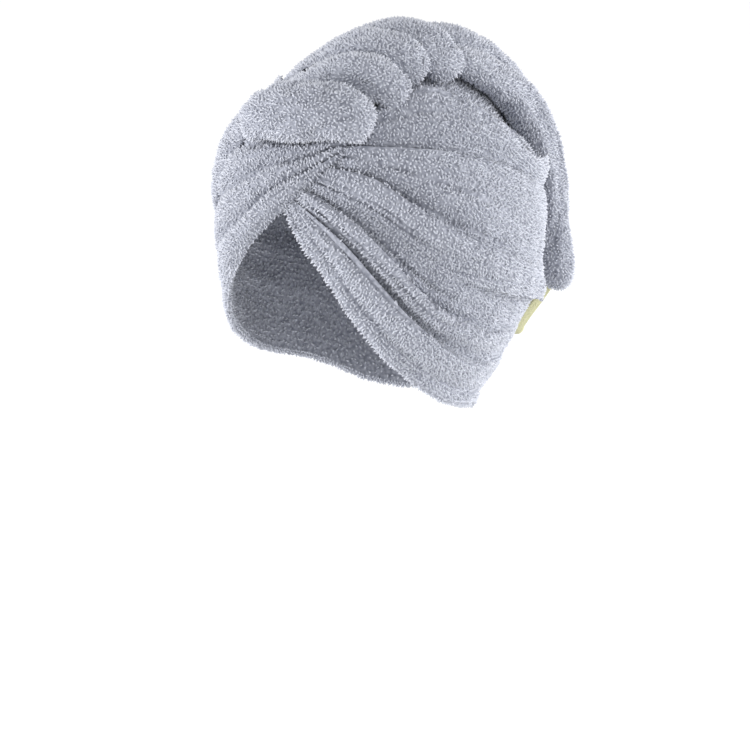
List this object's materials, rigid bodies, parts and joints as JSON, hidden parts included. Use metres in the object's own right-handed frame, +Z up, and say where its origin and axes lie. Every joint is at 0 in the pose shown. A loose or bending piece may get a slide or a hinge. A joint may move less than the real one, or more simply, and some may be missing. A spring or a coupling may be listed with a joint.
{
  "type": "hair turban towel",
  "caption": "Terry cloth hair turban towel as worn: pleated hood crossed at the forehead, long tail twisted back over the crown and held at the nape by an elastic loop on a small button.",
  "frame": {"origin": "top of the head hollow, where the inside of the hood sits on the crown of a head", "axes": "+Z up, the wearer faces -Y, +X to the wearer's left"},
  "size_m": [0.1857, 0.2278, 0.2467],
  "materials": {
    "terry": "pale lilac-grey cotton terry with a looped pile",
    "elastic": "pale yellow-green woven elastic band",
    "button": "plain pale moulded button"
  },
  "bodies": {
    "root": {"hood": "terry", "front_wrap": "terry", "twisted_tail": "terry", "elastic_loop": "elastic", "button": "button"}
  },
  "joints": []
}
